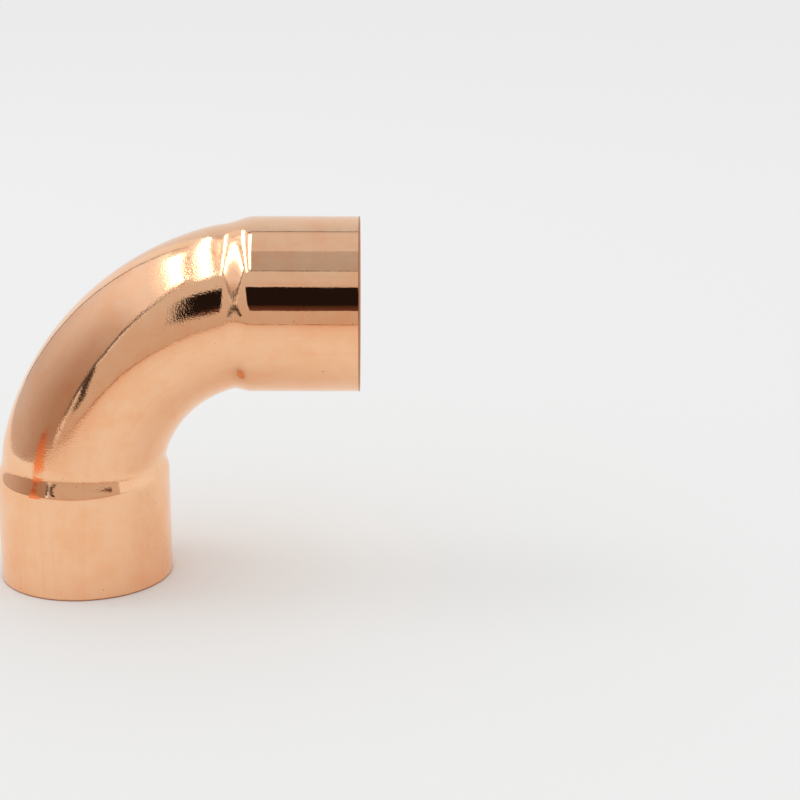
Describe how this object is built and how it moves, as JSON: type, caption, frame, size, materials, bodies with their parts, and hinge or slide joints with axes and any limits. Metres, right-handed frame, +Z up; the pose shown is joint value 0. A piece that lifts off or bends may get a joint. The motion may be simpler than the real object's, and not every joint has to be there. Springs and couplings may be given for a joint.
{
  "type": "pipe elbow",
  "caption": "90 degree wrought copper pipe elbow with a solder cup at each end, formed from one piece of seamless tube",
  "frame": {"origin": "centre of the lower mouth, on the lower cup's axis", "axes": "+Z up the lower cup's axis towards the bend, +X out of the side cup's mouth, +Y across the bend; the XZ plane is the elbow's plane of symmetry"},
  "size_m": [0.0789, 0.0372, 0.0789],
  "materials": {
    "copper": "bright drawn copper with faint draw lines, light scuffs and smudges, duller inside"
  },
  "bodies": {
    "root": {"elbow_body": "copper"}
  },
  "joints": []
}
